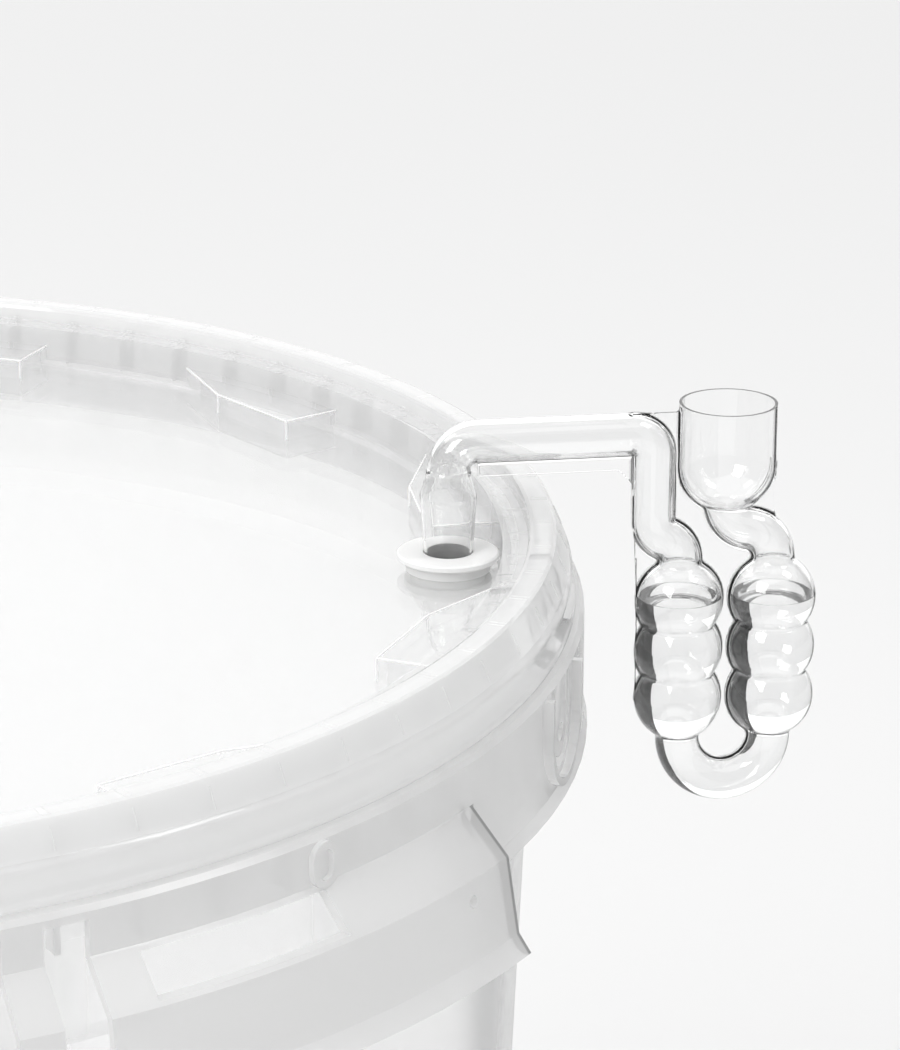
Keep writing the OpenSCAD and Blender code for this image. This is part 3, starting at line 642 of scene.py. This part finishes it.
def beads(name, paths, radius, count, first, mat):
    """Piece of thin beads along the paths, in millimetres, repeated count times from angle first on."""
    points, edges = [], []
    for path in paths:
        edges += [(len(points) + i, len(points) + i + 1) for i in range(len(path) - 1)]
        points += [tuple(c * MM for c in point) for point in path]
    base = bpy.data.meshes.new(name + "_paths")
    base.from_pydata(points, edges, [])
    piece = bpy.data.objects.new(name, base)
    bpy.context.scene.collection.objects.link(piece)
    tree, sockets = bead_tree()
    modifier = piece.modifiers.new("beads", "NODES")
    modifier.node_group = tree
    for label, value in (("Count", count), ("First angle", math.radians(first)),
                         ("Bead radius", radius * MM), ("Material", mat)):
        modifier[sockets[label]] = value
    graph = bpy.context.evaluated_depsgraph_get()
    mesh = bpy.data.meshes.new_from_object(piece.evaluated_get(graph))
    piece.modifiers.clear()
    piece.data = mesh
    mesh.name = name
    for face in mesh.polygons:
        face.use_smooth = True
    mesh.set_sharp_from_angle(angle=math.radians(60))
    return piece


# ---------------------------------------------------------------- operators

# Tear band, in millimetres: from the groove behind the skirt's edge over the shoulder and bead to the hooks
BAND_PROFILE = [
    (184.4, 383.7), (185.2, 383.7), (185.15, 383.5), (185.5, 383.2), (185.85, 382.85), (186.15, 382.5),
    (186.38, 382.15), (186.48, 381.7), (186.5, 381.0), (186.7, 377.2), (186.95, 376.7), (187.12, 376.3),
    (187.2, 375.9), (187.15, 375.5), (187.0, 375.25), (186.8, 375.2), (185.2, 375.2), (184.0, 375.8),
    (184.0, 377.0), (185.0, 377.6), (184.7, 382.6),
]
# Stacking wedges on the panel: outline of one, seen from above, with the next ones turned round the axis
WEDGE_OUTLINE = [(172.5, 0), (158, 0), (158, 27), (165.1, 50)]
WEDGE_H = 4.4
WEDGE_BEAD = 0.18
WEDGE_COUNT = 12
WEDGE_FIRST = 10.5
# Marks that the moulded webs leave on the ring: a pair of thin lines across its top and one down its outer slope
RING_MARKS = [
    [(178.7, -0.7, 389.95), (182.3, -0.7, 389.95)], [(178.7, 0.7, 389.95), (182.3, 0.7, 389.95)],
    [(183.67, 0, 388.4), (185.44, 0, 384.4)],
]
MARK_BEAD = 0.14
MARK_COUNT = 72
MARK_FIRST = 2.5

class FERMENTER_OT_camera(bpy.types.Operator):
    """Sets the camera at the photograph's viewing angle"""

    bl_idname = "fermenter.camera"
    bl_label = "Camera"

    def execute(self, context):
        azimuth, pitch, roll = math.radians(61.99), math.radians(18.454), math.radians(0.189)
        ahead = Vector((
            math.cos(pitch) * math.cos(azimuth), math.cos(pitch) * math.sin(azimuth), -math.sin(pitch)))
        right = ahead.cross(Vector((0, 0, 1))).normalized()
        up = right.cross(ahead)
        tilted_right = right * math.cos(roll) + up * math.sin(roll)
        tilted_up = up * math.cos(roll) - right * math.sin(roll)
        data = bpy.data.cameras.new("photo_camera")
        data.sensor_width = 36
        data.lens = 144
        data.clip_start = 0.01
        camera = bpy.data.objects.new("photo_camera", data)
        turn = Matrix((tilted_right, tilted_up, -ahead)).transposed().to_4x4()
        camera.matrix_world = Matrix.Translation((-0.24311, -0.80018, 0.66372)) @ turn
        context.scene.collection.objects.link(camera)
        context.scene.camera = camera
        return {"FINISHED"}


# Lights, in metres: the overhead light and the lit wall stand in the frame, the softbox in the camera's own axes
BUCKET_MIDDLE = (0, 0, 0.35)
OVERHEAD_AT = (0.5, 1.6, 4)
OVERHEAD_SIZE = 9
BACKDROP_AT = (2.8, 5.3, 1.7)
BACKDROP_WIDE = 14
BACKDROP_HIGH = 3.4
KEY_AT = (-1.5, 0.9, 1.4)
KEY_SIZE = 1.4
AIRLOCK_MIDDLE = (0.2, -0.09, 0.37)
SMALL_LIGHTS = [
    ("window_left", (-1.57, 1.65, -0.65), 0.5, 0.8, 1.0),
    ("window_right", (0.86, 1.15, -0.38), 0.34, 0.5, 3.0),
]

# Dark boards on the right of the view, by their four corners in metres. The edge board draws the airlock's right
# edges. Only light that has gone through more than WATER_DEPTH clear surfaces sees the water boards, which is
# the light in the water.
EDGE_BOARD = [
    (0.547, 0.185, 0.006), (1.412, 0.943, 0.006),
    (1.659, 0.565, 0.006), (0.616, 0.078, 0.006),
]
WATER_DEPTH = 4.5
WATER_BOARDS = {
    "board_right": [
        (0.723, -0.261, 0.000), (0.723, -0.261, 1.100),
        (1.343, 0.904, 1.100), (1.343, 0.904, 0.000)],
    "board_floor": [
        (0.208, -0.111, 0.004), (1.320, 0.860, 0.004),
        (0.723, -0.261, 0.004), (0.426, -0.182, 0.004)],
}


def black_cloth(name):
    """Matt black for a board; returns the material and its tree."""
    mat, tree, shader = node_material(name)
    shader.inputs["Base Color"].default_value = (0.01, 0.01, 0.01, 1)
    shader.inputs["Roughness"].default_value = 1.0
    shader.inputs["Specular IOR Level"].default_value = 0.0
    return mat, tree


class FERMENTER_OT_stage(bpy.types.Operator):
    """Makes the pale floor, the soft lights and the surroundings"""

    bl_idname = "fermenter.stage"
    bl_label = "Stage"

    def execute(self, context):
        light = context.scene.fermenter_stage
        mat, tree, shader = node_material("studio_floor")
        shader.inputs["Base Color"].default_value = (*light.floor, 1)
        shader.inputs["Roughness"].default_value = 0.9
        shader.inputs["Specular IOR Level"].default_value = 0.0
        bm = bmesh.new()
        bmesh.ops.create_grid(bm, x_segments=1, y_segments=1, size=12)
        mesh = bpy.data.meshes.new("floor")
        bm.to_mesh(mesh)
        bm.free()
        floor = new_piece("floor", mesh, mat)

        world = bpy.data.worlds.new("studio")
        world.use_nodes = True
        world.node_tree.nodes["Background"].inputs["Color"].default_value = (1, 1, 1, 1)
        world.node_tree.nodes["Background"].inputs["Strength"].default_value = light.sky
        context.scene.world = world

        camera = context.scene.camera.matrix_world
        lamps = [
            ("overhead", light.overhead, OVERHEAD_AT, (*OVERHEAD_AT[:2], 0), OVERHEAD_SIZE, OVERHEAD_SIZE),
            ("backdrop", light.backdrop, BACKDROP_AT, BUCKET_MIDDLE, BACKDROP_WIDE, BACKDROP_HIGH),
            ("key", light.key, camera @ Vector(KEY_AT), BUCKET_MIDDLE, KEY_SIZE, KEY_SIZE),
        ]
        for name, place, wide, high, share in SMALL_LIGHTS:
            energy = light.windows * share * math.pi * wide * high
            lamps.append((name, energy, camera @ Vector(place), AIRLOCK_MIDDLE, wide, high))
        for name, energy, place, target, wide, high in lamps:
            data = bpy.data.lights.new(name, "AREA")
            data.shape = "RECTANGLE"
            data.size, data.size_y = wide, high
            data.energy = energy
            lamp = bpy.data.objects.new(name, data)
            lamp.location = place
            lamp.rotation_euler = (Vector(target) - Vector(place)).to_track_quat("-Z", "Y").to_euler()
            context.scene.collection.objects.link(lamp)
        # Only gloss and clear plastic see the dark boards
        black, _ = black_cloth("studio_board")
        deep_black, tree = black_cloth("studio_water_board")
        path = tree.nodes.new("ShaderNodeLightPath")
        hidden = tree.nodes.new("ShaderNodeBsdfTransparent")
        mix = tree.nodes.new("ShaderNodeMixShader")
        deep = combined(tree, "GREATER_THAN", path.outputs["Transmission Depth"], WATER_DEPTH)
        tree.links.new(deep, mix.inputs["Fac"])
        tree.links.new(hidden.outputs["BSDF"], mix.inputs[1])
        tree.links.new(tree.nodes["Principled BSDF"].outputs["BSDF"], mix.inputs[2])
        tree.links.new(mix.outputs["Shader"], tree.nodes["Material Output"].inputs["Surface"])
        boards = [(name, corners, deep_black) for name, corners in WATER_BOARDS.items()]
        for name, corners, cloth in (*boards, ("edge_board", EDGE_BOARD, black)):
            mesh = bpy.data.meshes.new(name)
            mesh.from_pydata(corners, [], [(0, 1, 2, 3)])
            board = new_piece(name, mesh, cloth)
            board.visible_camera = board.visible_diffuse = board.visible_shadow = False
        context.scene.view_settings.view_transform = "Standard"
        # Light goes through many walls of milky plastic before it comes out again
        context.scene.cycles.max_bounces = 16
        context.scene.cycles.diffuse_bounces = 10
        context.scene.cycles.transparent_max_bounces = 24
        return {"FINISHED"}


class FERMENTER_OT_bucket(bpy.types.Operator):
    """Finishes the bucket's moulding in milky plastic, with painted shade on the collar and the grips' end walls and
    painted light behind the grip windows
    """

    bl_idname = "fermenter.bucket"
    bl_label = "Bucket"

    def execute(self, context):
        looks = context.scene.fermenter_looks
        mat = milky_plastic(
            "bucket_polypropylene", (tuple(looks.milk), looks.bucket_see_through, looks.wall_glow),
            # Collar and grips: their lower see-through is the thicker plastic's own; their darker colour is painted
            # shade
            (tuple(looks.thick), looks.collar_see_through, looks.glow), (0.1805, 0.186), 0.22, 400.0, 0.000002,
            # Painted shade: a dark line down each grip's end wall, which looks dark seen edge-on
            [((first, 180, 0.0009, 0.1835, 0.206, 0.33, 0.3652), (0.4, 0.4, 0.4), 0.5) for first in (57, -57)]
            # Painted light: the wall behind each grip window is whiter and lets more light straight through, so it
            # shows bright
            + [((90 + side, 180, 0.026, 0.174, 0.182, 0.337, 0.3655), (1, 1, 1), 1.55) for side in (12.8, -12.8)])
        finish_node("bucket", mat)
        return {"FINISHED"}


class FERMENTER_OT_lid(bpy.types.Operator):
    """Finishes the lid and its tear band in glossy milky plastic, with painted shade on the gussets and the recess
    wall inside the ring
    """

    bl_idname = "fermenter.lid"
    bl_label = "Lid and tear band"

    def execute(self, context):
        looks = context.scene.fermenter_looks
        mat = milky_plastic(
            "lid_polypropylene", (tuple(looks.panel), looks.lid_see_through, looks.glow),
            (tuple(looks.ring), looks.ring_see_through, looks.glow), (0.1725, 0.18), 0.035, 30.0, 0.000004,
            # Painted shade: darker lines on the gussets under the ring, where less light comes through
            (((3.9, 5, 0.0007, 0.1732, 0.1802, 0.3775, 0.387), (0.8, 0.8, 0.8), 0.7),
             # Painted shade: the recess wall inside the ring is darker
             ((0, 5, 0.1, 0.1716, 0.1744, 0.3779, 0.3863), (0.8, 0.8, 0.8), 0.9)))
        finish_node("lid", mat)
        finish_node("tear_band", mat)
        band = new_piece("tear_band_shape", lathed("tear_band_shape", BAND_PROFILE, 720), mat)
        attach(band, "lid_body")
        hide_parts("tear_band")
        return {"FINISHED"}


class FERMENTER_OT_beads(bpy.types.Operator):
    """Draws the thin rounded edges of the stacking wedges, opaque so that they show as painted highlights, and the
    moulding marks on the ring
    """

    bl_idname = "fermenter.beads"
    bl_label = "Wedge edges and ring marks"

    def execute(self, context):
        looks = context.scene.fermenter_looks
        # Painted highlight: the wedge edges are opaque and lighter than the see-through lid, so they show as bright
        # lines; their rounding is real
        mat, tree, shader = node_material("lid_edges_painted_highlight")
        colour = tuple(looks.milk)
        cloud = object_noise(tree, 60.0)
        tree.links.new(tinted(tree, cloud, tuple(c * 0.97 for c in colour), colour), shader.inputs["Base Color"])
        shader.inputs["Roughness"].default_value = 0.3
        base, top = PANEL_Z, PANEL_Z + WEDGE_H
        around = [(x, y, top) for x, y in WEDGE_OUTLINE]
        corners = [[(x, y, base), (x, y, top)] for x, y in WEDGE_OUTLINE[1:-1]]
        plastic = bpy.data.materials["lid_polypropylene"]
        for name, paths, radius, count, first, finish in (
                ("wedge_edges", [around, *corners], WEDGE_BEAD, WEDGE_COUNT, WEDGE_FIRST, mat),
                ("ring_marks", RING_MARKS, MARK_BEAD, MARK_COUNT, MARK_FIRST, plastic)):
            piece = beads(name, paths, radius, count, first, finish)
            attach(piece, "lid_body")
        return {"FINISHED"}


class FERMENTER_OT_grommet(bpy.types.Operator):
    """Finishes the grommet in soft white rubber, with painted shade on the neck under its flange"""

    bl_idname = "fermenter.grommet"
    bl_label = "Grommet"

    def execute(self, context):
        looks = context.scene.fermenter_looks
        mat, tree, shader = node_material("grommet_rubber")
        grain = object_noise(tree, 1400.0, 3.0)
        colour = tuple(looks.rubber)
        darker = tuple(c * 0.93 for c in colour)
        tint = tinted(tree, grain, darker, colour)
        # Painted shade: the neck below the flange is darker, where the flange shades it
        flange = between(tree, place_parts(tree)[2], 0, 1, NECK_Z - 0.0002, NECK_Z + 0.0002)
        tint = tinted(tree, flange, tuple(c * 0.85 for c in colour), tint)
        tree.links.new(tint, shader.inputs["Base Color"])
        tree.links.new(between(tree, grain, 0.55, 0.7), shader.inputs["Roughness"])
        tree.links.new(bumped(tree, grain, 0.00004), shader.inputs["Normal"])
        finish_node("grommet", mat)
        return {"FINISHED"}


class FERMENTER_OT_airlock(bpy.types.Operator):
    """Makes the clear airlock's wall, with its fillets, flat web and open cup"""

    bl_idname = "fermenter.airlock"
    bl_label = "Airlock"

    def execute(self, context):
        shape = context.scene.fermenter_airlock
        cell, wall, k = shape.cell / MM, shape.wall / MM, shape.fillet / MM
        low = (-8.0, -60.0, -13.0)
        high = (82.0, CUP_TOP + OVERRUN + 2, 13.0)
        outer = surface_from_field(lambda u, w, v: outer_field(u, w, v, k), low, high, cell)
        inner = surface_from_field(lambda u, w, v: round_duct(u, w, v, wall, k), low, high, cell)
        bm = bmesh.new()
        for points, quads in (outer, (inner[0], inner[1][:, ::-1])):
            part = bmesh.new()
            part.from_mesh(grid_mesh("airlock_part", points, quads))
            cut_off(part, CUP_TOP, True)
            cut_off(part, STEM[0][0], False, (0, STEM[2][1] + 2))
            scrap = bpy.data.meshes.new("airlock_scrap")
            part.to_mesh(scrap)
            part.free()
            bm.from_mesh(scrap)
            bpy.data.meshes.remove(scrap)
        open_edges = [e for e in bm.edges if e.is_boundary]
        for is_cup in (True, False):
            bmesh.ops.bridge_loops(bm, edges=[e for e in open_edges if (e.verts[0].co.y > 0) == is_cup])
        for face in bm.faces:
            face.smooth = True
        mesh = bpy.data.meshes.new("airlock_wall")
        bm.to_mesh(mesh)
        bm.free()
        normals = field_normals(mesh, (
            (lambda u, w, v: outer_field(u, w, v, k), 1), (lambda u, w, v: round_duct(u, w, v, wall, k), -1)),
            (CUP_TOP, STEM[0][0]))
        place_mesh(mesh)
        mesh.normals_split_custom_set(normals.tolist())
        mat, tree, shader = node_material("airlock_clear_plastic")
        swirl = object_noise(tree, 60.0, 2.0)
        tree.links.new(bumped(tree, swirl, 0.00001), shader.inputs["Normal"])
        tree.links.new(between(tree, swirl, 0.0, 0.004), shader.inputs["Roughness"])
        shader.inputs["Base Color"].default_value = (0.998, 0.999, 0.999, 1)
        shader.inputs["IOR"].default_value = 1.53
        shader.inputs["Transmission Weight"].default_value = 1.0
        piece = new_piece("airlock_wall", mesh, mat)
        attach(piece, "airlock_body")
        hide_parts("airlock")
        return {"FINISHED"}


class FERMENTER_OT_water(bpy.types.Operator):
    """Makes the water that stands in both columns of bulbs"""

    bl_idname = "fermenter.water"
    bl_label = "Water"

    def execute(self, context):
        shape = context.scene.fermenter_airlock
        cell, wall, k = shape.cell / MM, shape.wall / MM, shape.fillet / MM
        # The water's surface runs in the middle of the wall, so that no film of air shows between them
        points, quads = surface_from_field(
            lambda u, w, v: round_duct(u, w, v, wall / 2, k), (COLUMNS[0] - 10.5, -60.0, -11.0),
            (COLUMNS[1] + 10.5, -2.0, 11.0), cell)
        bm = bmesh.new()
        bm.from_mesh(grid_mesh("water_part", points, quads))
        for column, depth in zip(COLUMNS, (shape.water_left, shape.water_right)):
            cut_off(bm, -depth / MM, True, (column, BULB_R + 1))
        for face in bm.faces:
            face.smooth = True
        rims = [e for e in bm.edges if e.is_boundary]
        caps = bmesh.ops.holes_fill(bm, edges=rims)["faces"]
        for face in caps:
            face.smooth = False
        bmesh.ops.recalc_face_normals(bm, faces=bm.faces[:])
        mesh = bpy.data.meshes.new("seal_water")
        bm.to_mesh(mesh)
        bm.free()
        normals = field_normals(
            mesh, [(lambda u, w, v: round_duct(u, w, v, wall / 2, k), 1)],
            (-shape.water_left / MM, -shape.water_right / MM))
        place_mesh(mesh)
        mesh.normals_split_custom_set(normals.tolist())
        mat, tree, shader = node_material("clear_water")
        ripple = object_noise(tree, 40.0, 1.0)
        tree.links.new(bumped(tree, ripple, 0.00001), shader.inputs["Normal"])
        shader.inputs["Base Color"].default_value = (0.998, 0.999, 0.999, 1)
        shader.inputs["Roughness"].default_value = 0.0
        shader.inputs["IOR"].default_value = 1.333
        shader.inputs["Transmission Weight"].default_value = 1.0
        piece = new_piece("seal_water", mesh, mat)
        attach(piece, "airlock_body")
        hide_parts("lock_water")
        return {"FINISHED"}


class FERMENTER_PT_panel(bpy.types.Panel):
    """Shows the bucket's settings and the buttons for the steps that build it"""

    bl_idname = "FERMENTER_PT_panel"
    bl_label = "Fermenting bucket"
    bl_space_type = "VIEW_3D"
    bl_region_type = "UI"
    bl_category = "Bucket"

    def draw(self, context):
        for settings in ("fermenter_looks", "fermenter_airlock", "fermenter_stage"):
            box = self.layout.box()
            group = getattr(context.scene, settings)
            for name in group.__annotations__:
                box.prop(group, name)
        for step in STEPS:
            self.layout.operator(step.bl_idname)


SETTINGS = {
    "fermenter_looks": BucketLooks,
    "fermenter_airlock": AirlockShape,
    "fermenter_stage": StageLight,
}
STEPS = (
    FERMENTER_OT_camera, FERMENTER_OT_stage, FERMENTER_OT_bucket, FERMENTER_OT_lid,
    FERMENTER_OT_beads, FERMENTER_OT_grommet, FERMENTER_OT_airlock, FERMENTER_OT_water,
)


def register():
    for cls in (*SETTINGS.values(), *STEPS, FERMENTER_PT_panel):
        bpy.utils.register_class(cls)
    for name, group in SETTINGS.items():
        setattr(bpy.types.Scene, name, PointerProperty(type=group))


def unregister():
    for name in SETTINGS:
        delattr(bpy.types.Scene, name)
    for cls in reversed((*SETTINGS.values(), *STEPS, FERMENTER_PT_panel)):
        bpy.utils.unregister_class(cls)


def main():
    register()
    for step in STEPS:
        group, call = step.bl_idname.split(".")
        getattr(getattr(bpy.ops, group), call)()


if __name__ == "__main__":
    main()
